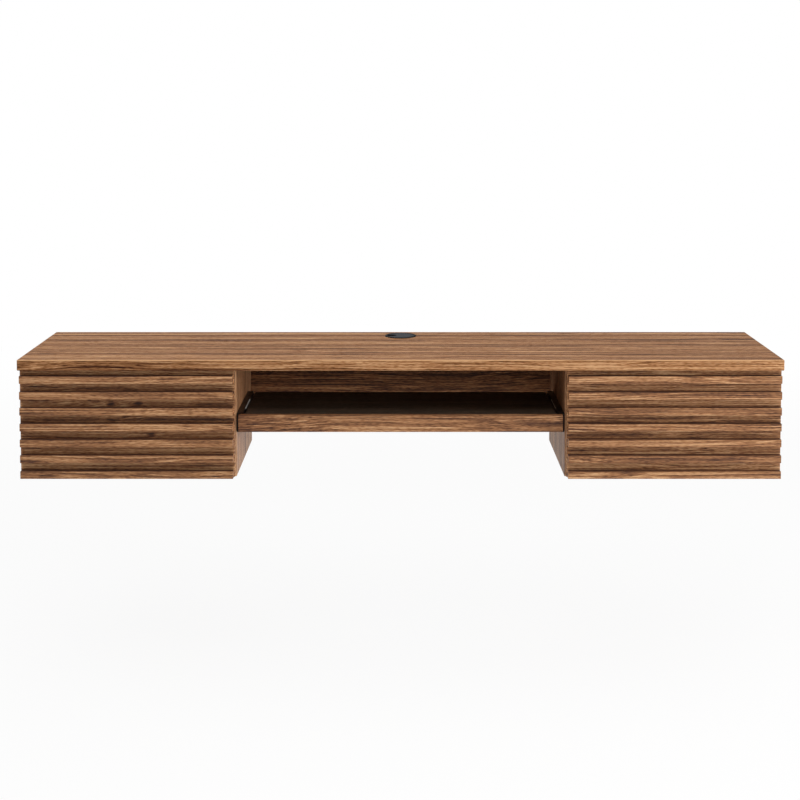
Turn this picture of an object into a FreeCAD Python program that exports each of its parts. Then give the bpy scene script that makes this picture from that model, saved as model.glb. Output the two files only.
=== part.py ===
"""Floating wall desk with two slatted drawers, a keyboard tray and a cable grommet.

Frame: millimetres, X to the right, Y towards the wall, Z up. The wall is the plane Y = 0 and the origin is
the centre of the four wall screws in the middle back panel.
"""
import FreeCAD
import Part
import os
from FreeCAD import Vector

# Desktop and overall sizes
desk_width = 1753.0
desk_depth = 394.0
desk_height = 279.0
top_thickness = 25.0
top_arris = 2.4
surface_above_screws = 110.0
cut_overrun = 2.0

# Carcass boards
board_thickness = 15.0
board_arris = 0.8
knee_width = 759.5
top_side_overhang = 1.5
middle_back_height = 170.0

# Wall screw holes
wall_hole_radius = 3.0
wall_sink_radius = 6.0
wall_sink_depth = 3.0
stud_spacing = 406.4
middle_hole_rise = 90.0
pedestal_hole_rise = 120.0

# Drawer fronts
slat_count = 7
slat_height = 17.4
slat_depth = 18.0
slat_top_recess = 10.2
slat_end_inset = 2.5
slat_arris = 1.2
slat_set_back = 2.0
front_thickness = 15.0
front_top_gap = 3.0
front_base_rise = 2.8
front_reveal = 2.5
bumper_thickness = 2.0
bumper_radius = 4.0
bumper_shares = (0.12, 0.88)

# Drawer boxes
box_side_thickness = 12.0
box_top_gap = 47.0
box_back_gap = 24.0
box_floor_gap = 12.0
box_bottom_thickness = 5.0
box_bottom_rise = 12.0
groove_depth = 5.0
groove_clearance = 0.2
drawer_runner_rise = 82.0

# Keyboard tray
tray_drop = 134.0
cable_drop_depth = 84.0
tray_thickness = 15.0
tray_front_height = 39.0
tray_front_thickness = 15.0
tray_front_set_back = 28.0
tray_front_side_gap = 5.0
tray_rail_thickness = 15.0
tray_runner_drop = 20.0

# Telescopic runners: three nested bent channels that run on balls
runner_gap = 12.7
tray_runner_gap = 19.1
runner_height = 45.0
runner_sheet = 1.2
runner_bend = 0.5
runner_lip = 1.5
runner_cabinet_short = 3.3
runner_set_back = 4.0
tray_runner_set_back = 1.0
drawer_runner_end_gap = 14.0
tray_runner_end_gap = 1.0
screw_hole_radius = 2.2
screw_slot_length = 10.0
screw_access_radius = 5.0
screw_hole_shares = (0.12, 0.5, 0.88)
screw_slot_shares = (0.25, 0.75)
ball_radius = 1.7
ball_play = 0.1
cage_sheet = 0.5
cage_clearance = 0.25
cage_length_share = 0.42
cage_ball_shares = (0.14, 0.5, 0.86)

# Dowels
dowel_radius = 4.0
dowel_length = 30.0
dowel_seat = 10.0
thin_dowel_radius = 3.0
thin_dowel_seat = 8.0
dowel_fit = 0.05
dowel_end_gap = 0.5
side_dowel_shares = (0.3, 0.7)
base_dowel_shares = (0.3, 0.7)
back_dowel_shares = (0.2, 0.8)
middle_dowel_shares = (0.5,)
box_front_dowel_shares = (0.2, 0.8)
box_back_dowel_shares = (0.3, 0.7)
tray_dowel_shares = (0.1, 0.5, 0.9)

# Cam locks and their bolts
cam_radius = 7.5
cam_floor = 2.7
cam_fit = 0.1
cam_recess = 0.3
cam_from_edge = 24.0
cam_slot_width = 1.6
cam_slot_depth = 2.0
cam_slot_length = 9.0
bolt_thread_radius = 2.5
bolt_thread_length = 10.0
bolt_shank_radius = 2.3
bolt_head_radius = 3.3
bolt_head_length = 3.0
bolt_head_fit = 0.3
bolt_bore_radius = 3.8
side_cam_shares = (0.14, 0.86)
base_cam_shares = (0.14, 0.86)
middle_cam_shares = (0.2, 0.8)

# Cable grommet
grommet_from_wall = 61.0
grommet_flange_radius = 39.0
grommet_flange_height = 1.6
grommet_hole_radius = 34.3
grommet_fit = 0.1
grommet_wall = 3.2
grommet_length = 22.0
grommet_arris = 0.6
cap_thickness = 2.4
cap_clearance = 0.35
cap_ledge = 2.0
cap_skirt_length = 7.0
cap_skirt_wall = 1.8
cap_slot_width = 24.0
cap_slot_depth = 22.0

# Levels and planes worked out from the sizes above
surface_z = surface_above_screws
under_z = surface_z - top_thickness
base_z = surface_z - desk_height
front_y = -desk_depth
slat_y = front_y + slat_set_back
backing_y = slat_y + slat_depth
front_back_y = backing_y + front_thickness
carcass_y = front_back_y + bumper_thickness
inner_x = knee_width / 2
inner_far_x = inner_x + board_thickness
outer_x = desk_width / 2 - top_side_overhang
outer_near_x = outer_x - board_thickness
front_near_x = inner_x + front_reveal
front_base_z = base_z + front_base_rise
front_top_z = under_z - front_top_gap
slat_pitch = (front_top_z - slat_top_recess - slat_height - front_base_z) / (slat_count - 1)
floor_z = base_z + board_thickness
back_y = -board_thickness
middle_base_z = under_z - middle_back_height
cam_height = board_thickness - cam_recess - cam_floor

box_near_x = inner_far_x + runner_gap
box_far_x = outer_near_x - runner_gap
box_base_z = floor_z + box_floor_gap
box_top_z = under_z - box_top_gap
box_back_y = back_y - box_back_gap
box_depth = box_back_y - front_back_y
box_bottom_z = box_base_z + box_bottom_rise
drawer_runner_z = box_base_z + drawer_runner_rise
drawer_runner_y = carcass_y + runner_set_back
drawer_runner_length = box_back_y - drawer_runner_end_gap - drawer_runner_y

tray_z = surface_z - tray_drop
tray_front_y = front_y + tray_front_set_back
tray_front_back_y = tray_front_y + tray_front_thickness
tray_back_y = back_y - cable_drop_depth
tray_under_z = tray_z - tray_thickness
tray_base_z = tray_z - tray_front_height
tray_x = inner_x - tray_runner_gap
tray_rail_x = tray_x - tray_rail_thickness
tray_runner_z = tray_z - tray_runner_drop
tray_runner_y = tray_front_back_y + tray_runner_set_back
tray_runner_length = tray_back_y - tray_runner_end_gap - tray_runner_y

sides = ((-1, "left"), (1, "right"))
parts = {}


def board(x0, x1, y0, y1, z0, z1, arris=board_arris):
    """A board between two X, Y and Z planes, with every edge eased."""
    left = min(x0, x1)
    solid = Part.makeBox(abs(x1 - x0), y1 - y0, z1 - z0, Vector(left, y0, z0))
    return solid.makeFillet(arris, solid.Edges)


def rod(radius, point, direction, start, end):
    """A round rod along a direction, from one distance to another past a point."""
    return Part.makeCylinder(radius, end - start, point + direction * start, direction)


def turned(profile):
    """A solid turned about Z from corners given as radius and height."""
    corners = [Vector(radius, 0, height) for radius, height in profile]
    face = Part.Face(Part.makePolygon(corners + corners[:1]))
    return face.revolve(Vector(0, 0, 0), Vector(0, 0, 1), 360)


def between(low, high, share):
    """The place that lies a share of the way from low to high."""
    return low + (high - low) * share


def drill(name, tool):
    """Take a hole or pocket out of one piece."""
    parts[name] = parts[name].cut(tool)


def make_desktop():
    """The desktop, with the round hole for the cable grommet."""
    half = desk_width / 2
    top = board(-half, half, front_y, 0, under_z, surface_z, top_arris)
    hole = rod(grommet_hole_radius, Vector(0, -grommet_from_wall, under_z), Vector(0, 0, 1),
               -cut_overrun, top_thickness + cut_overrun)
    parts["desktop"] = top.cut(hole)


def make_carcass():
    """Side, bottom and back panels of both pedestals and the back panel between them."""
    for side, name in sides:
        parts[name + "_outer_side"] = board(side * outer_near_x, side * outer_x, carcass_y, 0,
                                            base_z, under_z)
        parts[name + "_inner_side"] = board(side * inner_x, side * inner_far_x, carcass_y, 0,
                                            base_z, under_z)
        parts[name + "_pedestal_bottom"] = board(side * inner_far_x, side * outer_near_x, carcass_y, back_y,
                                                 base_z, floor_z)
        parts[name + "_pedestal_back"] = board(side * inner_far_x, side * outer_near_x, back_y, 0,
                                               base_z, under_z)
    parts["middle_back"] = board(-inner_x, inner_x, back_y, 0, middle_base_z, under_z)


def drill_wall_holes():
    """Countersunk screw holes on the wall studs: four in the middle, two in each pedestal."""
    places = []
    for side, name in sides:
        for end in (-1, 1):
            places.append(("middle_back", side * stud_spacing / 2, end * middle_hole_rise / 2))
            stud_x = stud_spacing / 2 + stud_spacing
            places.append((name + "_pedestal_back", side * stud_x, end * pedestal_hole_rise / 2))
    for name, x, z in places:
        drill(name, rod(wall_hole_radius, Vector(x, 0, z), Vector(0, -1, 0), -cut_overrun,
                        board_thickness + cut_overrun))
        drill(name, Part.makeCone(wall_sink_radius, wall_hole_radius, wall_sink_depth, Vector(x, back_y, z),
                                  Vector(0, 1, 0)))


def slat_profile():
    """Section of one slat: a strip whose two front edges are rounded."""
    strip = Part.makeBox(slat_arris, slat_depth, slat_height)
    near_edges = [edge for edge in strip.Edges if edge.BoundBox.XLength > slat_arris / 2
                  and edge.CenterOfMass.y < slat_depth / 2]
    rounded = strip.makeFillet(slat_arris, near_edges)
    ends = [face for face in rounded.Faces if face.BoundBox.XLength < slat_arris / 2]
    return min(ends, key=lambda face: face.CenterOfMass.x)


def make_drawer_front(side, name):
    """The backing board, its seven proud slats and the bumpers behind it."""
    backing = board(side * front_near_x, side * outer_x, backing_y, front_back_y, front_base_z, front_top_z)
    groove = Part.makeBox(box_far_x - box_near_x, groove_depth,
                          box_bottom_thickness + groove_clearance,
                          Vector(min(side * box_near_x, side * box_far_x), front_back_y - groove_depth,
                                 box_bottom_z - groove_clearance / 2))
    parts[name + "_drawer_front"] = backing.cut(groove)
    start = min(side * (front_near_x + slat_end_inset), side * (outer_x - slat_end_inset))
    length = outer_x - front_near_x - slat_end_inset * 2
    slats = []
    for row in range(slat_count):
        section = slat_profile()
        section.translate(Vector(start, slat_y, front_base_z + slat_pitch * row))
        slats.append(section.extrude(Vector(length, 0, 0)))
    parts[name + "_drawer_slats"] = Part.makeCompound(slats)
    bumpers = []
    for x in (between(inner_x, inner_far_x, 1 / 2), between(outer_near_x, outer_x, 1 / 2)):
        for share in bumper_shares:
            place = Vector(side * x, front_back_y, between(front_base_z, front_top_z, share))
            bumpers.append(rod(bumper_radius, place, Vector(0, 1, 0), 0, bumper_thickness))
    parts[name + "_drawer_bumpers"] = Part.makeCompound(bumpers)


def make_drawer_box(side, name):
    """Two sides and a back, grooved for a thin bottom that also enters the front."""
    inside_near_x = box_near_x + box_side_thickness
    inside_far_x = box_far_x - box_side_thickness
    inside_back_y = box_back_y - box_side_thickness
    near = board(side * box_near_x, side * inside_near_x, front_back_y, box_back_y, box_base_z, box_top_z)
    far = board(side * inside_far_x, side * box_far_x, front_back_y, box_back_y, box_base_z, box_top_z)
    back = board(side * inside_near_x, side * inside_far_x, inside_back_y, box_back_y,
                 box_base_z, box_top_z)
    reach = groove_depth - groove_clearance
    groove_x = min(side * (inside_near_x - groove_depth), side * (inside_far_x + groove_depth))
    groove = Part.makeBox(inside_far_x - inside_near_x + groove_depth * 2, box_depth,
                          box_bottom_thickness + groove_clearance,
                          Vector(groove_x, inside_back_y + groove_depth - box_depth,
                                 box_bottom_z - groove_clearance / 2))
    bottom_x = min(side * (inside_near_x - reach), side * (inside_far_x + reach))
    bottom = Part.makeBox(inside_far_x - inside_near_x + reach * 2,
                          inside_back_y - front_back_y + reach * 2, box_bottom_thickness,
                          Vector(bottom_x, front_back_y - reach, box_bottom_z))
    parts[name + "_drawer_near_side"] = near.cut(groove)
    parts[name + "_drawer_far_side"] = far.cut(groove)
    parts[name + "_drawer_back"] = back.cut(groove)
    parts[name + "_drawer_bottom"] = bottom


def make_tray():
    """Keyboard tray: a panel with a front apron and rails below its other edges."""
    apron_x = inner_x - tray_front_side_gap
    parts["tray_front"] = board(-apron_x, apron_x, tray_front_y, tray_front_back_y, tray_base_z, tray_z)
    parts["tray_panel"] = board(-tray_x, tray_x, tray_front_back_y, tray_back_y, tray_under_z, tray_z)
    for side, name in sides:
        parts["tray_" + name + "_rail"] = board(side * tray_rail_x, side * tray_x, tray_front_back_y,
                                                tray_back_y, tray_base_z, tray_under_z)
    parts["tray_rear_rail"] = board(-tray_rail_x, tray_rail_x, tray_back_y - tray_rail_thickness,
                                    tray_back_y, tray_base_z, tray_under_z)


def channel(web_u, end_u, half_height, lip, length):
    """A bent channel: a web, two flanges and, where lip isn't 0, edges curled towards the middle.

    U runs from the cabinet to the drawer, the web stands on web_u and the flanges reach end_u.
    """
    turn = 1 if end_u > web_u else -1
    sheet_u = turn * runner_sheet
    inside = half_height - runner_sheet
    half = [(web_u, half_height), (end_u, half_height)]
    if lip:
        half += [(end_u, inside - lip), (end_u - sheet_u, inside - lip), (end_u - sheet_u, inside)]
    else:
        half += [(end_u, inside)]
    half += [(web_u + sheet_u, inside)]
    outline = half + [(u, -w) for u, w in reversed(half)]
    corners = [Vector(u, 0, w) for u, w in outline]
    solid = Part.Face(Part.makePolygon(corners + corners[:1])).extrude(Vector(0, length, 0))

    def bends(u, w):
        return [edge for edge in solid.Edges if edge.BoundBox.YLength > length / 2
                and abs(edge.CenterOfMass.x - u) < runner_bend
                and abs(abs(edge.CenterOfMass.z) - w) < runner_bend]

    solid = solid.makeFillet(runner_sheet + runner_bend, bends(web_u, half_height))
    solid = solid.makeFillet(runner_bend, bends(web_u + sheet_u, inside))
    if lip:
        solid = solid.makeFillet(runner_sheet + runner_bend, bends(end_u, half_height))
    return solid


def cage(web_u, end_u, row_w, ball_u, length):
    """A thin ball cage, bent round the web and pierced for the balls, and its two rows of balls."""
    half = row_w + cage_sheet / 2
    inside = half - cage_sheet
    corners = [Vector(u, 0, w) for u, w in (
        (web_u, half), (end_u, half), (end_u, inside), (web_u + cage_sheet, inside),
        (web_u + cage_sheet, -inside), (end_u, -inside), (end_u, -half), (web_u, -half))]
    strip = Part.Face(Part.makePolygon(corners + corners[:1])).extrude(Vector(0, length, 0))
    balls = []
    for share in cage_ball_shares:
        for end in (-1, 1):
            place = Vector(ball_u, length * share, end * row_w)
            window = rod(ball_radius + ball_play, place, Vector(0, 0, 1), -ball_radius, ball_radius)
            strip = strip.cut(window)
            balls.append(Part.makeSphere(ball_radius, place))
    return strip, balls


def web_slot(radius, y, length, gap):
    """A round-ended slot through every web of a runner that fills the gap, long in Y."""
    run = length / 2 - radius
    corner = Vector(-cut_overrun, y - run, -radius)
    slot = Part.makeBox(gap + cut_overrun * 2, run * 2, radius * 2, corner)
    for end in (-1, 1):
        slot = slot.fuse(web_hole(radius, y + end * run, gap))
    return slot


def web_hole(radius, y, gap):
    """A round hole through every web of a runner that fills the gap."""
    return rod(radius, Vector(0, y, 0), Vector(1, 0, 0), -cut_overrun, gap + cut_overrun)


def make_runner(length, gap):
    """The members of one runner, closed: cabinet, middle and drawer channels, and cages with balls.

    The runner fills the gap between the carcass and what it carries.
    """
    ball_room = (ball_radius + ball_play) * 2
    web_room = cage_sheet + cage_clearance * 2
    cabinet_half = runner_height / 2
    middle_half = cabinet_half - runner_sheet - ball_room
    drawer_half = middle_half - runner_sheet - ball_room
    middle_u = runner_sheet + web_room
    middle_end_u = gap - runner_sheet - web_room
    cabinet_end_u = gap - runner_cabinet_short
    drawer_end_u = middle_u + runner_sheet + web_room
    cabinet = channel(0, cabinet_end_u, cabinet_half, runner_lip, length)
    middle = channel(middle_u, middle_end_u, middle_half, runner_lip, length)
    drawer = channel(gap, drawer_end_u, drawer_half, 0, length)
    for share in screw_hole_shares:
        cabinet = cabinet.cut(web_hole(screw_hole_radius, length * share, gap))
        middle = middle.cut(web_hole(screw_access_radius, length * share, gap))
        drawer = drawer.cut(web_hole(screw_hole_radius, length * share, gap))
    for share in screw_slot_shares:
        cabinet = cabinet.cut(web_slot(screw_hole_radius, length * share, screw_slot_length, gap))
        drawer = drawer.cut(web_slot(screw_hole_radius, length * share, screw_slot_length, gap))
    cage_length = length * cage_length_share
    outer_end_u = cabinet_end_u - runner_sheet - cage_clearance
    outer_row = middle_half + ball_room / 2
    outer_cage, outer_balls = cage(runner_sheet + cage_clearance, outer_end_u, outer_row,
                                   between(runner_sheet, outer_end_u, 1 / 2), cage_length)
    inner_end_u = middle_end_u - runner_sheet - cage_clearance
    inner_row = drawer_half + ball_room / 2
    inner_cage, inner_balls = cage(middle_u + runner_sheet + cage_clearance, inner_end_u, inner_row,
                                   between(drawer_end_u, inner_end_u, 1 / 2), cage_length)
    for solid in [outer_cage] + outer_balls:
        solid.translate(Vector(0, length - cage_length, 0))
    return {"cabinet_runners": [cabinet], "middle_runners": [middle], "runners": [drawer],
            "ball_cages": [outer_cage, inner_cage] + outer_balls + inner_balls}


def make_runner_pair(name, length, gap, y, z, low_x, high_x):
    """Two runners that face each other from the planes low_x and high_x of the carcass."""
    low = make_runner(length, gap)
    high = make_runner(length, gap)
    for kind in low:
        solids = []
        for solid in low[kind]:
            solid.translate(Vector(low_x, y, z))
            solids.append(solid)
        for solid in high[kind]:
            turned_round = solid.mirror(Vector(0, 0, 0), Vector(1, 0, 0))
            turned_round.translate(Vector(high_x, y, z))
            solids.append(turned_round)
        parts[name + "_" + kind] = Part.makeCompound(solids)


def make_grommet():
    """A flanged liner in the desktop and a cap with a cable slot that turns on the liner's ledge."""
    sleeve = grommet_hole_radius - grommet_fit
    bore = sleeve - grommet_wall
    seat = bore + cap_ledge
    ledge_z = grommet_flange_height - cap_thickness
    liner = turned(((bore, -grommet_length), (sleeve, -grommet_length), (sleeve, 0),
                    (grommet_flange_radius, 0),
                    (grommet_flange_radius, grommet_flange_height - grommet_arris),
                    (grommet_flange_radius - grommet_arris, grommet_flange_height),
                    (seat, grommet_flange_height), (seat, ledge_z), (bore, ledge_z)))
    rim = seat - cap_clearance
    skirt = bore - cap_clearance
    skirt_z = ledge_z - cap_skirt_length
    cap = turned(((0, ledge_z), (skirt - cap_skirt_wall, ledge_z), (skirt - cap_skirt_wall, skirt_z),
                  (skirt, skirt_z), (skirt, ledge_z), (rim, ledge_z),
                  (rim, grommet_flange_height - grommet_arris),
                  (rim - grommet_arris, grommet_flange_height), (0, grommet_flange_height)))
    slot_end = cap_slot_depth - cap_slot_width / 2
    slot_height = cap_thickness + cap_skirt_length + cut_overrun * 2
    slot = Part.makeBox(slot_end + cut_overrun, cap_slot_width, slot_height,
                        Vector(-rim - cut_overrun, -cap_slot_width / 2, skirt_z - cut_overrun))
    slot = slot.fuse(rod(cap_slot_width / 2, Vector(slot_end - rim, 0, skirt_z), Vector(0, 0, 1),
                         -cut_overrun, slot_height - cut_overrun))
    cap = cap.cut(slot)
    for name, solid in (("grommet_liner", liner), ("grommet_cap", cap)):
        solid.translate(Vector(0, -grommet_from_wall, surface_z))
        parts[name] = solid


def add_dowels(group, places, radius, seat):
    """Dowels across joints; each place is the seat piece, the other piece, a point and a direction."""
    dowels = []
    for seat_name, other_name, point, direction in places:
        hole = rod(radius + dowel_fit, point, direction, -seat - dowel_end_gap,
                   dowel_length - seat + dowel_end_gap)
        drill(seat_name, hole)
        drill(other_name, hole)
        dowels.append(rod(radius, point, direction, -seat, dowel_length - seat))
    parts[group] = Part.makeCompound(dowels)


def dowel_carcass():
    """Dowels between the carcass boards."""
    places = []
    for side, name in sides:
        for panel, x in (("_inner_side", inner_x), ("_outer_side", outer_near_x)):
            for share in side_dowel_shares:
                point = Vector(side * (x + board_thickness / 2), between(carcass_y, 0, share), under_z)
                places.append(("desktop", name + panel, point, Vector(0, 0, -1)))
        for panel, x, inward in (("_inner_side", inner_far_x, side), ("_outer_side", outer_near_x, -side)):
            for share in base_dowel_shares:
                point = Vector(side * x, between(carcass_y, back_y, share), base_z + board_thickness / 2)
                places.append((name + panel, name + "_pedestal_bottom", point, Vector(inward, 0, 0)))
            for share in back_dowel_shares:
                point = Vector(side * x, back_y / 2, between(base_z, under_z, share))
                places.append((name + panel, name + "_pedestal_back", point, Vector(inward, 0, 0)))
        for share in middle_dowel_shares:
            point = Vector(side * inner_x, back_y / 2, between(middle_base_z, under_z, share))
            places.append((name + "_inner_side", "middle_back", point, Vector(-side, 0, 0)))
    add_dowels("carcass_dowels", places, dowel_radius, dowel_seat)


def dowel_drawer(side, name):
    """Dowels that join a drawer's sides to its front and its back."""
    prefix = name + "_drawer_"
    inside_near_x = box_near_x + box_side_thickness
    inside_far_x = box_far_x - box_side_thickness
    places = []
    for panel, x, inside_x, inward in (("near_side", box_near_x, inside_near_x, side),
                                       ("far_side", inside_far_x, inside_far_x, -side)):
        for share in box_front_dowel_shares:
            point = Vector(side * (x + box_side_thickness / 2), front_back_y,
                           between(box_base_z, box_top_z, share))
            places.append((prefix + "front", prefix + panel, point, Vector(0, 1, 0)))
        for share in box_back_dowel_shares:
            point = Vector(side * inside_x, box_back_y - box_side_thickness / 2,
                           between(box_base_z, box_top_z, share))
            places.append((prefix + panel, prefix + "back", point, Vector(inward, 0, 0)))
    add_dowels(prefix + "dowels", places, thin_dowel_radius, thin_dowel_seat)


def dowel_tray():
    """Dowels that join the tray panel to its apron."""
    places = []
    for share in tray_dowel_shares:
        point = Vector(between(-tray_x, tray_x, share), tray_front_back_y, tray_z - tray_thickness / 2)
        places.append(("tray_front", "tray_panel", point, Vector(0, 1, 0)))
    add_dowels("tray_dowels", places, dowel_radius, dowel_seat)


def cam_lock(point, direction, face_direction):
    """One cam lock, its bolt and the holes for both.

    The point lies on the joint, at the middle of the cam board's thickness; direction runs into that board
    and face_direction to the face where the cam shows.
    """
    centre = point + direction * cam_from_edge
    face = board_thickness / 2
    low = face - cam_recess - cam_height
    disc = rod(cam_radius, centre, face_direction, low, face - cam_recess)
    across = direction.cross(face_direction)
    disc = disc.cut(rod(bolt_head_radius + bolt_head_fit, centre, direction, -cam_radius - cut_overrun,
                        bolt_head_fit))
    for along, over in ((direction, across), (across, direction)):
        corner = (centre + face_direction * (face - cam_recess - cam_slot_depth)
                  - along * (cam_slot_length / 2) - over * (cam_slot_width / 2))
        run = along * cam_slot_length
        width = over * cam_slot_width
        slot = Part.Face(Part.makePolygon([corner, corner + run, corner + run + width, corner + width, corner]))
        disc = disc.cut(slot.extrude(face_direction * (cam_slot_depth + cut_overrun)))
    bolt = rod(bolt_thread_radius, point, direction, -bolt_thread_length, 0)
    bolt = bolt.fuse(rod(bolt_shank_radius, point, direction, 0, cam_from_edge - bolt_head_length))
    bolt = bolt.fuse(rod(bolt_head_radius, point, direction, cam_from_edge - bolt_head_length,
                         cam_from_edge))
    pocket = rod(cam_radius + cam_fit, centre, face_direction, low - cam_fit, face + cut_overrun)
    bore = rod(bolt_bore_radius, point, direction, -cut_overrun, cam_from_edge)
    thread_hole = rod(bolt_thread_radius + dowel_fit, point, direction, -bolt_thread_length - dowel_end_gap,
                      cut_overrun)
    return disc, bolt, pocket, bore, thread_hole


def add_cam_locks():
    """Cam locks that pull the carcass together, on faces that don't show in use."""
    joints = {"left": [], "right": [], "middle": []}
    for side, name in sides:
        for panel, x, shown in (("_inner_side", inner_x, side), ("_outer_side", outer_near_x, -side)):
            for share in side_cam_shares:
                point = Vector(side * (x + board_thickness / 2), between(carcass_y, 0, share), under_z)
                joints[name].append((name + panel, "desktop", point, Vector(0, 0, -1), Vector(shown, 0, 0)))
        for panel, x, inward in (("_inner_side", inner_far_x, side), ("_outer_side", outer_near_x, -side)):
            for share in base_cam_shares:
                point = Vector(side * x, between(carcass_y, back_y, share), base_z + board_thickness / 2)
                joints[name].append((name + "_pedestal_bottom", name + panel, point, Vector(inward, 0, 0),
                                     Vector(0, 0, -1)))
        for share in middle_cam_shares:
            point = Vector(side * inner_x, back_y / 2, between(middle_base_z, under_z, share))
            joints["middle"].append(("middle_back", name + "_inner_side", point, Vector(-side, 0, 0),
                                     Vector(0, 1, 0)))
    bolts = []
    for group in joints:
        discs = []
        for cam_name, bolt_name, point, direction, shown in joints[group]:
            disc, bolt, pocket, bore, thread_hole = cam_lock(point, direction, shown)
            drill(cam_name, pocket.fuse(bore))
            drill(bolt_name, thread_hole)
            discs.append(disc)
            bolts.append(bolt)
        parts[group + "_cam_locks"] = Part.makeCompound(discs)
    parts["cam_bolts"] = Part.makeCompound(bolts)


make_desktop()
make_carcass()
drill_wall_holes()
for side, name in sides:
    make_drawer_front(side, name)
    make_drawer_box(side, name)
    dowel_drawer(side, name)
    low_x, high_x = sorted((side * inner_far_x, side * outer_near_x))
    make_runner_pair(name + "_drawer", drawer_runner_length, runner_gap, drawer_runner_y, drawer_runner_z,
                     low_x, high_x)
make_tray()
dowel_tray()
make_runner_pair("tray", tray_runner_length, tray_runner_gap, tray_runner_y, tray_runner_z,
                 -inner_x, inner_x)
make_grommet()
dowel_carcass()
add_cam_locks()

os.makedirs("parts", exist_ok=True)
for name, shape in parts.items():
    if not shape.isValid():
        print("not valid:", name)
    shape.exportStep("parts/" + name + ".step")
print(len(parts), "pieces")
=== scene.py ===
"""Floating wall desk in walnut-print laminate: two slatted drawers, a keyboard tray and a cable grommet."""
import bpy
import math
import numpy as np
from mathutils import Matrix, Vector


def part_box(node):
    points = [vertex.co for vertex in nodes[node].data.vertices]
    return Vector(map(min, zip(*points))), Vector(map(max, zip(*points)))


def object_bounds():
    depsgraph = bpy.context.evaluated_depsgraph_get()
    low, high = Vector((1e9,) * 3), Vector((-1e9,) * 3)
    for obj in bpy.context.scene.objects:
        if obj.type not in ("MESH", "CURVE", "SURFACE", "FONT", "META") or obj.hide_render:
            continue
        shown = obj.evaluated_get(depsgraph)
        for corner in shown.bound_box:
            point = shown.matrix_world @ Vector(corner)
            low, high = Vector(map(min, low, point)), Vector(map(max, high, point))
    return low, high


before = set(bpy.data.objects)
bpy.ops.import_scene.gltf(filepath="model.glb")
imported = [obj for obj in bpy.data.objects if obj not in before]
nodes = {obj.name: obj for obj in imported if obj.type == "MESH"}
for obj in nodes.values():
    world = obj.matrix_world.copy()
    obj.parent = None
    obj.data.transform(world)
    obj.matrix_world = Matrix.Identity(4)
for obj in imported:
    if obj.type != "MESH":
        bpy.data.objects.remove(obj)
cad_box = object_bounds()
scene = bpy.context.scene
scene.view_settings.view_transform = "Standard"

# Desktop
# A 25 mm particle board wrapped in a walnut-print melamine film with a satin lacquer, its long grain running
# from end to end. It lies on the pedestals and is drawn down by cam bolts from below.


def linear(hexcode):
    """An sRGB hex colour as linear RGBA: each channel goes through the sRGB decoding curve."""
    channels = np.array([int(hexcode[i:i + 2], 16) for i in (1, 3, 5)]) / 255
    decoded = np.where(channels <= 0.04045, channels / 12.92, ((channels + 0.055) / 1.055) ** 2.4)
    return (*decoded, 1.0)


def add(tree, kind, links=(), **settings):
    """Add one shader node with its settings; links gives each input a socket or a plain value.

    Inputs 0 to 4 of a MapRange are the value, the two ends of its range, and what those ends become.
    """
    node = tree.nodes.new("ShaderNode" + kind)
    for key, value in settings.items():
        setattr(node, key, value)
    for socket, value in dict(links).items():
        if isinstance(value, bpy.types.NodeSocket):
            tree.links.new(value, node.inputs[socket])
        else:
            node.inputs[socket].default_value = value
    return node


def new_finish(name):
    """Start a material: returns it, its node tree, its shader and the coordinates that patterns follow."""
    material = bpy.data.materials.new(name)
    material.use_nodes = True
    tree = material.node_tree
    return material, tree, tree.nodes["Principled BSDF"], add(tree, "TexCoord").outputs["Object"]


def dress(material, *names):
    """Give CAD nodes one material."""
    for name in names:
        nodes[name].data.materials.clear()
        nodes[name].data.materials.append(material)


walnut = ("#3d2318", "#6a4329", "#946541", "#b48157", "#d4a67a")
# Tone runs from 0, the darkest of these colours, to 1, the palest.
plain_tone = 0.705
# Length and width in mm of each mark of the printed grain, its finer octaves, and what it adds to the tone.
# Pores and fibres are drawn wider than real ones, so that they show in the render.
grain = {"sway": (500, 80, 1, 0), "band": (3500, 28, 1, 0.13), "growth": (1600, 4, 1, -0.1),
         "streak": (1400, 4, 2, 0.2), "fibre": (400, 2.2, 1, 0.25), "pore": (12, 0.9, 0, -0.34)}
noise_low, noise_high = 0.35, 0.65
sway_reach = 0.005
growth_line = 0.3
pore_start, pore_full = -0.6, 1.2
pore_depth = 0.0002
film_roughness, pore_roughness = 0.5, 0.65
# How far the print moves on, in metres, from one board to the next and from one strip to the next.
board_step, strip_step = (3.1, 1.7, 0.9), (0.83, 0.37, 0.21)
end_facing = 0.8
knot_half_length, knot_half_height = 0.013, 0.006
knot_heart, knot_gain = 0.2, -0.8


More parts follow.
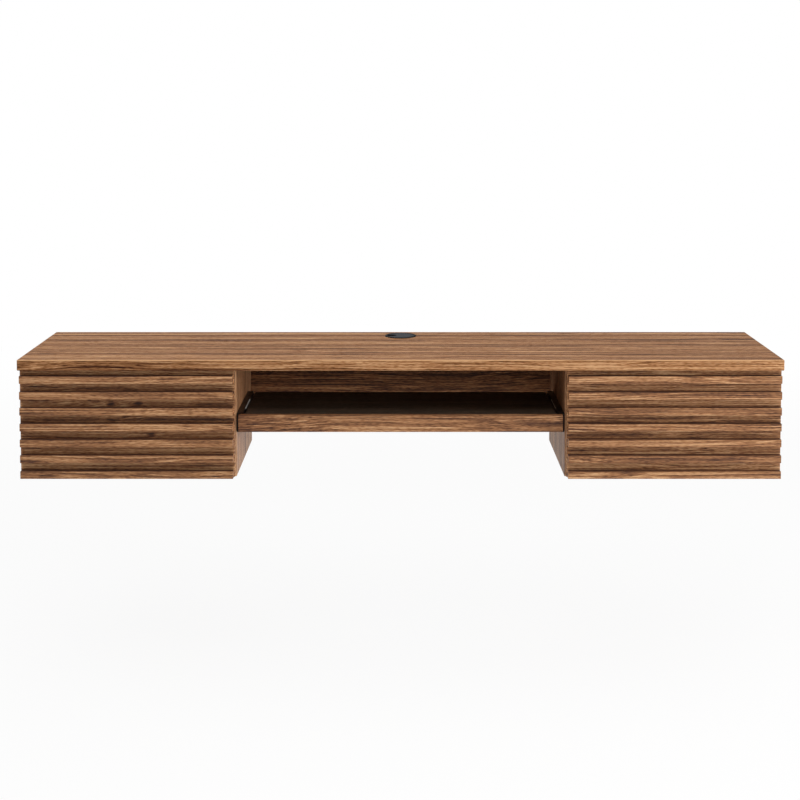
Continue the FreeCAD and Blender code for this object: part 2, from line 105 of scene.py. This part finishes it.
def face_tone(tree, place, normal, depth, painted_facing_light, knots):
    """The tone before the grain is added: the plain tone, less depth, plus the painted light by facing and
    the knots.

    A face gains the tone of each painted light or shade by facing if its normal times that direction is over
    its reach. A knot adds its tone in full at its heart, and less and less from there to the rim of its
    oval.
    """
    total = plain_tone - depth
    for direction, reach, gain in painted_facing_light:
        near = add(tree, "VectorMath", {0: normal, 1: direction}, operation="DOT_PRODUCT").outputs["Value"]
        near = add(tree, "Math", {0: near, 1: reach}, operation="GREATER_THAN").outputs[0]
        total = add(tree, "Math", {0: near, 1: gain, 2: total}, operation="MULTIPLY_ADD").outputs[0]
    oval = (1 / knot_half_length, 0, 1 / knot_half_height)
    for centre in knots:
        away = add(tree, "VectorMath", {0: place, 1: centre}, operation="SUBTRACT").outputs[0]
        away = add(tree, "VectorMath", {0: away, 1: oval}, operation="MULTIPLY").outputs[0]
        away = add(tree, "VectorMath", {0: away}, operation="LENGTH").outputs["Value"]
        inside = add(tree, "MapRange", {0: away, 1: knot_heart, 2: 1, 3: 1, 4: 0}).outputs[0]
        total = add(tree, "Math", {0: inside, 1: knot_gain, 2: total}, operation="MULTIPLY_ADD").outputs[0]
    return total


def print_place(tree, place, normal, along, seed, rows):
    """The place in the print that a point shows, with the print's grain along X.

    The board is turned so that its grain lies along X, and moved on by seed times board_step. Rows, given by
    their pitch and the height of the first one's foot, are each moved on by one more strip_step. On faces
    across the grain X and Y change places, because an edge band runs along its edge.
    """
    if rows:
        pitch, foot = rows
        height = add(tree, "SeparateXYZ", {0: place}).outputs[2]
        row = add(tree, "Math", {0: height, 1: foot}, operation="SUBTRACT").outputs[0]
        row = add(tree, "Math", {0: row, 1: pitch}, operation="DIVIDE").outputs[0]
        row = add(tree, "Math", {0: row}, operation="FLOOR").outputs[0]
        jump = add(tree, "VectorMath", {0: row, 1: strip_step}, operation="MULTIPLY").outputs[0]
        place = add(tree, "VectorMath", {0: place, 1: jump}, operation="ADD").outputs[0]
    turn = {"x": (0, 0, 0), "y": (0, 0, -math.pi / 2), "z": (0, math.pi / 2, 0)}[along]
    start = [seed * step for step in board_step]
    board = add(tree, "Mapping", {"Vector": place, "Rotation": turn, "Location": start}).outputs[0]
    facing = add(tree, "Mapping", {"Vector": normal, "Rotation": turn}, vector_type="VECTOR").outputs[0]
    facing = add(tree, "VectorMath", {0: facing}, operation="ABSOLUTE").outputs[0]
    facing = add(tree, "SeparateXYZ", {0: facing}).outputs[0]
    is_end = add(tree, "Math", {0: facing, 1: end_facing}, operation="GREATER_THAN").outputs[0]
    parts = add(tree, "SeparateXYZ", {0: board}).outputs
    edge_band = add(tree, "CombineXYZ", {0: parts[1], 1: parts[0], 2: parts[2]}).outputs[0]
    return add(tree, "Mix", {0: is_end, 4: board, 5: edge_band}, data_type="VECTOR").outputs[1]


def add_grain(tree, board, total, bands):
    """Add the marks of the grain to a tone; returns the tone and how far a point lies in a pore.

    Each mark is a noise stretched to its length and width, with its middle values spread over -1 to 1. Sway
    shifts the marks after it across the grain, growth lines lie where their noise is near 0, and pores where
    theirs is high.
    """
    for mark, (length, width, octaves, weight) in grain.items():
        size = (1000 / length, 1000 / width, 1000 / width)
        scaled = add(tree, "VectorMath", {0: board, 1: size}, operation="MULTIPLY").outputs[0]
        tone = add(tree, "TexNoise", {"Vector": scaled, "Scale": 1, "Detail": octaves}).outputs[0]
        spread = {0: tone, 1: noise_low, 2: noise_high, 3: -1, 4: 1}
        tone = add(tree, "MapRange", spread, clamp=False).outputs[0]
        if mark == "sway":
            across = add(tree, "Math", {0: tone, 1: sway_reach}, operation="MULTIPLY").outputs[0]
            across = add(tree, "CombineXYZ", {1: across, 2: across}).outputs[0]
            board = add(tree, "VectorMath", {0: board, 1: across}, operation="ADD").outputs[0]
        if mark == "band":
            weight *= bands
        if mark == "growth":
            tone = add(tree, "Math", {0: tone}, operation="ABSOLUTE").outputs[0]
            tone = add(tree, "MapRange", {0: tone, 1: 0, 2: growth_line, 3: 1, 4: 0}).outputs[0]
        if mark == "pore":
            tone = add(tree, "MapRange", {0: tone, 1: pore_start, 2: pore_full, 3: 0, 4: 1}).outputs[0]
            in_pore = tone
        total = add(tree, "Math", {0: tone, 1: weight, 2: total}, operation="MULTIPLY_ADD").outputs[0]
    return total, in_pore


def wood_laminate(name, along, seed, sheen=0.3, depth=0, colours=walnut, rows=None, painted_facing_light=(), knots=(),
                  bands=1):
    """Wood-print melamine: a printed open grain under a satin film, which gives a soft sheen at low angles.

    A ramp turns the print's tone into colours, dark to pale. The film is duller in the pores and dips there.
    Depth darkens the whole print. The painted light by facing is a list of directions, each with a reach and
    a
    gain of tone: painted highlight and painted shade on faces that look that way. Knots are the centres of
    dark ovals, and bands makes the broad bands stronger.
    """
    material, tree, shader, place = new_finish(name)
    normal = add(tree, "TexCoord").outputs["Normal"]
    total = face_tone(tree, place, normal, depth, painted_facing_light, knots)
    board = print_place(tree, place, normal, along, seed, rows)
    total, in_pore = add_grain(tree, board, total, bands)
    ramp = add(tree, "ValToRGB", {0: total})
    while len(ramp.color_ramp.elements) < len(colours):
        ramp.color_ramp.elements.new(0.5)
    for number, colour in enumerate(colours):
        ramp.color_ramp.elements[number].position = number / (len(colours) - 1)
        ramp.color_ramp.elements[number].color = linear(colour)
    tree.links.new(ramp.outputs[0], shader.inputs["Base Color"])
    rough = add(tree, "MapRange", {0: in_pore, 1: 0, 2: 1, 3: film_roughness, 4: pore_roughness})
    tree.links.new(rough.outputs[0], shader.inputs["Roughness"])
    relief = add(tree, "Bump", {"Height": in_pore, "Strength": 0.25, "Distance": pore_depth}, invert=True)
    tree.links.new(relief.outputs[0], shader.inputs["Normal"])
    shader.inputs["Specular IOR Level"].default_value = sheen
    return material


# A painted highlight lies along the rounded front arris, and painted shade darkens the front face a little.
front = (0, -1, 0)
arris_painted_highlight = ((0, -0.707, 0.707), 0.75, 0.6)
front_painted_shade = (front, 0.9, -0.05)
top = wood_laminate("walnut_desktop", "x", 1, sheen=0.04, depth=0.04, painted_facing_light=[arris_painted_highlight, front_painted_shade], bands=2)
dress(top, "desktop")

# Pedestals
# Two boxes of 15 mm laminated board, joined by dowels and cam locks. The grain of the sides stands upright,
# and that of the bottoms and backs runs along the desk. The front edges are taped; painted light makes the
# left tape paler, and painted shade makes the right one darker.
sides = ("left", "right")
front_edge_painted_light = {"left": 0.3, "right": -0.15}
for number, side in enumerate(sides):
    front_edge_light = (front, 0.9, front_edge_painted_light[side])
    inner = wood_laminate("walnut_inner_side_" + side, "z", 4 + number, sheen=0.6, painted_facing_light=[front_edge_light])
    # Painted shade: the outer sides' print is darkened a little.
    outer = wood_laminate("walnut_outer_side_" + side, "z", 20 + number, depth=0.1)
    flat = wood_laminate("walnut_flat_" + side, "x", 6 + number)
    dress(inner, side + "_inner_side")
    dress(outer, side + "_outer_side")
    dress(flat, side + "_pedestal_bottom", side + "_pedestal_back")

# Back panel of the tray bay
# One board of the same laminate between the pedestals, its print darkened as painted shade under the
# desktop. It is screwed to the wall through four holes.
dress(wood_laminate("walnut_back", "x", 8, sheen=0.2, depth=0.26), "middle_back")

# Drawer fronts
# A laminated backing board with seven wrapped strips pinned to it from behind. Each strip was cut from
# another place of the print, so its figure starts afresh. The strips' upper faces are darkened as painted
# shade.
slats = 7
slat_height = 0.0174
slat_top_painted_shade = ((0, 0, 1), 0.85, -0.6)
# Painted light: the right backing's print is paler, as if lit from the right.
backing_painted_light = {"left": 0, "right": -0.08}
knot_places = {"left": ((-0.667, -0.374, 0.003), (-0.603, -0.374, 0.006), (-0.574, -0.374, -0.067)),
               "right": ()}
for number, side in enumerate(sides):
    backing = wood_laminate("walnut_backing_" + side, "x", 10 + number, depth=backing_painted_light[side],
                            knots=knot_places[side])
    dress(backing, side + "_drawer_front")
    low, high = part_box(side + "_drawer_slats")
    pitch = (high[2] - low[2] - slat_height) / (slats - 1)
    middle_of_gap = low[2] - (pitch - slat_height) / 2
    strips = wood_laminate("walnut_slats_" + side, "x", 12 + number, depth=0.03,
                           rows=(pitch, middle_of_gap), painted_facing_light=[slat_top_painted_shade])
    dress(strips, side + "_drawer_slats")

# Drawer boxes
# Thin laminated sides and back round a printed hardboard bottom, which is held in grooves. The grain of the
# sides runs from front to back.
for number, side in enumerate(sides):
    lengthwise = wood_laminate("walnut_box_sides_" + side, "y", 14 + number)
    crosswise = wood_laminate("walnut_box_" + side, "x", 16 + number)
    dress(lengthwise, side + "_drawer_near_side", side + "_drawer_far_side")
    dress(crosswise, side + "_drawer_back", side + "_drawer_bottom")

# Keyboard tray
# A walnut laminate panel, its print drawn near black as painted shade under the desktop, with a walnut
# apron in front and walnut rails below its edges, held together by dowels.
shaded_walnut = ("#1b1713", "#29221c", "#362e26", "#43392f", "#51463b")
dress(wood_laminate("espresso_tray_panel", "x", 17, sheen=0.15, colours=shaded_walnut), "tray_panel")
dress(wood_laminate("walnut_tray_apron", "x", 18, depth=0.085), "tray_front", "tray_rear_rail")
dress(wood_laminate("walnut_tray_rails", "y", 19), "tray_left_rail", "tray_right_rail")

# Runners
# Cold-rolled steel channels with a thin black electro-dip coat, with a pale strip in the colour of bare
# steel along the lips beside the tray. Steel balls run in pressed, zinc-plated cages between them.

# The coat is deep black with a low gloss that changes a little from place to place. The pale strip is a
# box with a soft rim, and absolute coordinates repeat it on the lips of both sides.
pale_strip_centre, pale_strip_reach = (0.3645, 0.247, 0.0225), (0.001, 0.057, 0.0016)
pale_strip_rim = 0.85
coat_cloud_mm = 6
# Nearly all values of a noise lie between these two, which are made the smooth and the dull roughness.
cloud_low, cloud_high = 0.3, 0.7
smooth, dull = 0.3, 0.45
coat, tree, shader, place = new_finish("black_dipped_steel")
mirrored = add(tree, "VectorMath", {0: place}, operation="ABSOLUTE").outputs[0]
off = add(tree, "VectorMath", {0: mirrored, 1: pale_strip_centre}, operation="SUBTRACT").outputs[0]
off = add(tree, "VectorMath", {0: off, 1: pale_strip_reach}, operation="DIVIDE").outputs[0]
off = add(tree, "VectorMath", {0: off}, operation="ABSOLUTE").outputs[0]
off = add(tree, "SeparateXYZ", {0: off}).outputs
farthest = add(tree, "Math", {0: off[0], 1: off[1]}, operation="MAXIMUM").outputs[0]
farthest = add(tree, "Math", {0: farthest, 1: off[2]}, operation="MAXIMUM").outputs[0]
pale_strip = add(tree, "MapRange", {0: farthest, 1: pale_strip_rim, 2: 1, 3: 1, 4: 0}).outputs[0]
ramp = add(tree, "ValToRGB", {0: pale_strip})
ramp.color_ramp.elements[0].color = linear("#08080a")
ramp.color_ramp.elements[1].color = linear("#b4b4b2")
tree.links.new(ramp.outputs[0], shader.inputs["Base Color"])
cloud = add(tree, "TexNoise", {"Vector": place, "Scale": 1000 / coat_cloud_mm, "Detail": 3}).outputs[0]
rough = add(tree, "MapRange", {0: cloud, 1: cloud_low, 2: cloud_high, 3: smooth, 4: dull}).outputs[0]
tree.links.new(rough, shader.inputs["Roughness"])
shader.inputs["Specular IOR Level"].default_value = 0.2
# Zinc plate is a pale grey metal, a little cloudy, so that its shine is uneven.
plate_cloud_mm = 3
smooth, dull = 0.25, 0.45
zinc, tree, shader, place = new_finish("zinc_plated_steel")
cloud = add(tree, "TexNoise", {"Vector": place, "Scale": 1000 / plate_cloud_mm, "Detail": 4}).outputs[0]
rough = add(tree, "MapRange", {0: cloud, 1: cloud_low, 2: cloud_high, 3: smooth, 4: dull}).outputs[0]
tree.links.new(rough, shader.inputs["Roughness"])
shader.inputs["Base Color"].default_value = linear("#b9bab8")
shader.inputs["Metallic"].default_value = 1
for group in ("left_drawer", "right_drawer", "tray"):
    dress(coat, group + "_cabinet_runners", group + "_middle_runners", group + "_runners")
    dress(zinc, group + "_ball_cages")

# Fittings
# Die-cast cam locks with their bolts, which draw the boards together, beech dowels, which are glued in, and
# clear silicone bumpers, which are stuck behind the drawer fronts.
dress(zinc, "left_cam_locks", "right_cam_locks", "middle_cam_locks", "cam_bolts")
# Bare beech is pale and dull, with small flecks.
fleck_mm = 2
beech, tree, shader, place = new_finish("beech")
fleck = add(tree, "TexNoise", {"Vector": place, "Scale": 1000 / fleck_mm, "Detail": 2}).outputs[0]
ramp = add(tree, "ValToRGB", {0: fleck})
ramp.color_ramp.elements[0].color = linear("#b98d5f")
ramp.color_ramp.elements[1].color = linear("#d8b486")
tree.links.new(ramp.outputs[0], shader.inputs["Base Color"])
dress(beech, "carcass_dowels", "left_drawer_dowels", "right_drawer_dowels", "tray_dowels")
# Clear silicone lets light through, with a faint milky haze.
haze_mm = 1.5
silicone, tree, shader, place = new_finish("clear_silicone")
haze = add(tree, "TexNoise", {"Vector": place, "Scale": 1000 / haze_mm, "Detail": 2}).outputs[0]
ramp = add(tree, "ValToRGB", {0: haze})
ramp.color_ramp.elements[0].color = linear("#cfcfc6")
ramp.color_ramp.elements[1].color = linear("#e2e2dc")
tree.links.new(ramp.outputs[0], shader.inputs["Base Color"])
shader.inputs["Roughness"].default_value = 0.3
shader.inputs["Transmission Weight"].default_value = 0.6
shader.inputs["IOR"].default_value = 1.41
dress(silicone, "left_drawer_bumpers", "right_drawer_bumpers")

# Cable grommet
# A moulded black ABS liner pressed into the desktop, and a slotted cap in charcoal ABS that turns in it. The
# mould was spark-eroded, so the faces have a fine dull grain.

# The pits of that grain are drawn coarser than real ones, so that they show.
pit_mm = 0.8
pit_depth = 0.0001
smooth, dull = 0.5, 0.65
for name, shade, gloss, piece in (("black_abs", "#0e0f12", 0.03, "grommet_liner"),
                                  ("charcoal_abs", "#2a2d32", 0.06, "grommet_cap")):
    plastic, tree, shader, place = new_finish(name)
    pits = add(tree, "TexNoise", {"Vector": place, "Scale": 1000 / pit_mm, "Detail": 2}).outputs[0]
    rough = add(tree, "MapRange", {0: pits, 1: cloud_low, 2: cloud_high, 3: smooth, 4: dull}).outputs[0]
    tree.links.new(rough, shader.inputs["Roughness"])
    relief = add(tree, "Bump", {"Height": pits, "Strength": 0.3, "Distance": pit_depth})
    tree.links.new(relief.outputs[0], shader.inputs["Normal"])
    shader.inputs["Base Color"].default_value = linear(shade)
    shader.inputs["Specular IOR Level"].default_value = gloss
    dress(plastic, piece)

# Floor
# A plain pale floor, matt and wide, below the hanging desk. The camera sees it white but for the desk's soft
# shadow, and away from the desk it turns fully white.


def is_seen(tree):
    """1 for rays that show a surface to the camera, and 0 for those that only carry light."""
    ray = add(tree, "LightPath").outputs
    seen = add(tree, "Math", {0: ray["Is Camera Ray"], 1: ray["Is Glossy Ray"]}, operation="MAXIMUM")
    seen = add(tree, "Math", {0: seen.outputs[0], 1: ray["Is Transmission Ray"]}, operation="MAXIMUM")
    return seen.outputs[0]


floor_drop = 0.46
floor_half_width = 12.0
shadow_radius, white_radius = 1.2, 4.5
white_near_desk = 0.9
floor_z = cad_box[0][2] - floor_drop
corners = np.array([[-1, -1], [1, -1], [1, 1], [-1, 1]]) * floor_half_width
ground = bpy.data.meshes.new("floor")
ground.from_pydata(np.column_stack([corners, np.full(4, floor_z)]).tolist(), [], [(0, 1, 2, 3)])
floor = bpy.data.objects.new("floor", ground)
scene.collection.objects.link(floor)
pale, tree, shader, place = new_finish("pale_floor")
shader.inputs["Base Color"].default_value = linear("#f3f3f3")
shader.inputs["Roughness"].default_value = 1
shader.inputs["Specular IOR Level"].default_value = 0
away = add(tree, "VectorMath", {0: place}, operation="LENGTH").outputs["Value"]
fade = add(tree, "MapRange", {0: away, 1: shadow_radius, 2: white_radius, 3: white_near_desk, 4: 1},
           interpolation_type="SMOOTHSTEP").outputs[0]
share = add(tree, "Math", {0: is_seen(tree), 1: fade}, operation="MULTIPLY").outputs[0]
white = add(tree, "Emission", {"Color": linear("#ffffff"), "Strength": 1})
mixed = add(tree, "MixShader", {0: share, 1: shader.outputs[0], 2: white.outputs[0]})
tree.links.new(mixed.outputs[0], tree.nodes["Material Output"].inputs["Surface"])
ground.materials.append(pale)

# Light
# Soft light from straight overhead, weak towards the horizon and a little stronger from the right, a soft
# box on the right that reaches into the tray bay, and a long soft box high in front. The camera sees a white
# background.
horizon_light, overhead_light = 0.03, 1.4
overhead_start, overhead_full = 0.66, 0.92
left_share, right_share = 0.8, 1.2
world = bpy.data.worlds.new("studio")
world.use_nodes = True
scene.world = world
tree = world.node_tree
sky = tree.nodes["Background"]
sky.inputs["Color"].default_value = linear("#ffffff")
towards = add(tree, "SeparateXYZ", {0: add(tree, "TexCoord").outputs["Generated"]}).outputs
rise = add(tree, "MapRange", {0: towards[2], 1: overhead_start, 2: overhead_full, 3: horizon_light,
                              4: overhead_light}, interpolation_type="SMOOTHSTEP").outputs[0]
aside = add(tree, "MapRange", {0: towards[0], 1: -1, 2: 1, 3: left_share, 4: right_share}).outputs[0]
glow = add(tree, "Math", {0: rise, 1: aside}, operation="MULTIPLY").outputs[0]
strength = add(tree, "Mix", {0: is_seen(tree), 2: glow, 3: 1.0}, data_type="FLOAT").outputs[0]
tree.links.new(strength, sky.inputs["Strength"])
# Place and size of each soft box in metres, and its power in watts.
lamps = {"side_box": ((3.5, -1.5, 0.35), (1.2, 0.9), 92),
         "front_box": ((-0.6, -2.1, 2.4), (3.0, 1.2), 36)}
lit_point = np.array([0.0, -0.35, 0.0])
for name, (spot, size, power) in lamps.items():
    lamp = bpy.data.lights.new(name, "AREA")
    lamp.shape = "RECTANGLE"
    lamp.size, lamp.size_y = size
    lamp.energy = power
    holder = bpy.data.objects.new(name, lamp)
    holder.location = spot
    aim = lit_point - np.array(spot)
    level_run = math.hypot(aim[0], aim[1])
    holder.rotation_euler = (math.atan2(level_run, -aim[2]), 0, math.atan2(aim[1], aim[0]) - math.pi / 2)
    holder.visible_camera = False
    scene.collection.objects.link(holder)

# Camera
# An almost level view from a little above the desktop, with the lens shifted down. Its place, pitch and lens
# were fitted to the edges of the desk.
downward_pitch = 0.06352
camera = bpy.data.objects.new("camera", bpy.data.cameras.new("camera"))
camera.data.sensor_width = 36
camera.data.lens = 67.114
camera.data.shift_y = -0.27
camera.data.clip_end = 60
camera.location = (-0.00138, -3.76413, 0.72665)
camera.rotation_euler = (math.pi / 2 - downward_pitch, 0, 0)
scene.collection.objects.link(camera)
scene.camera = camera
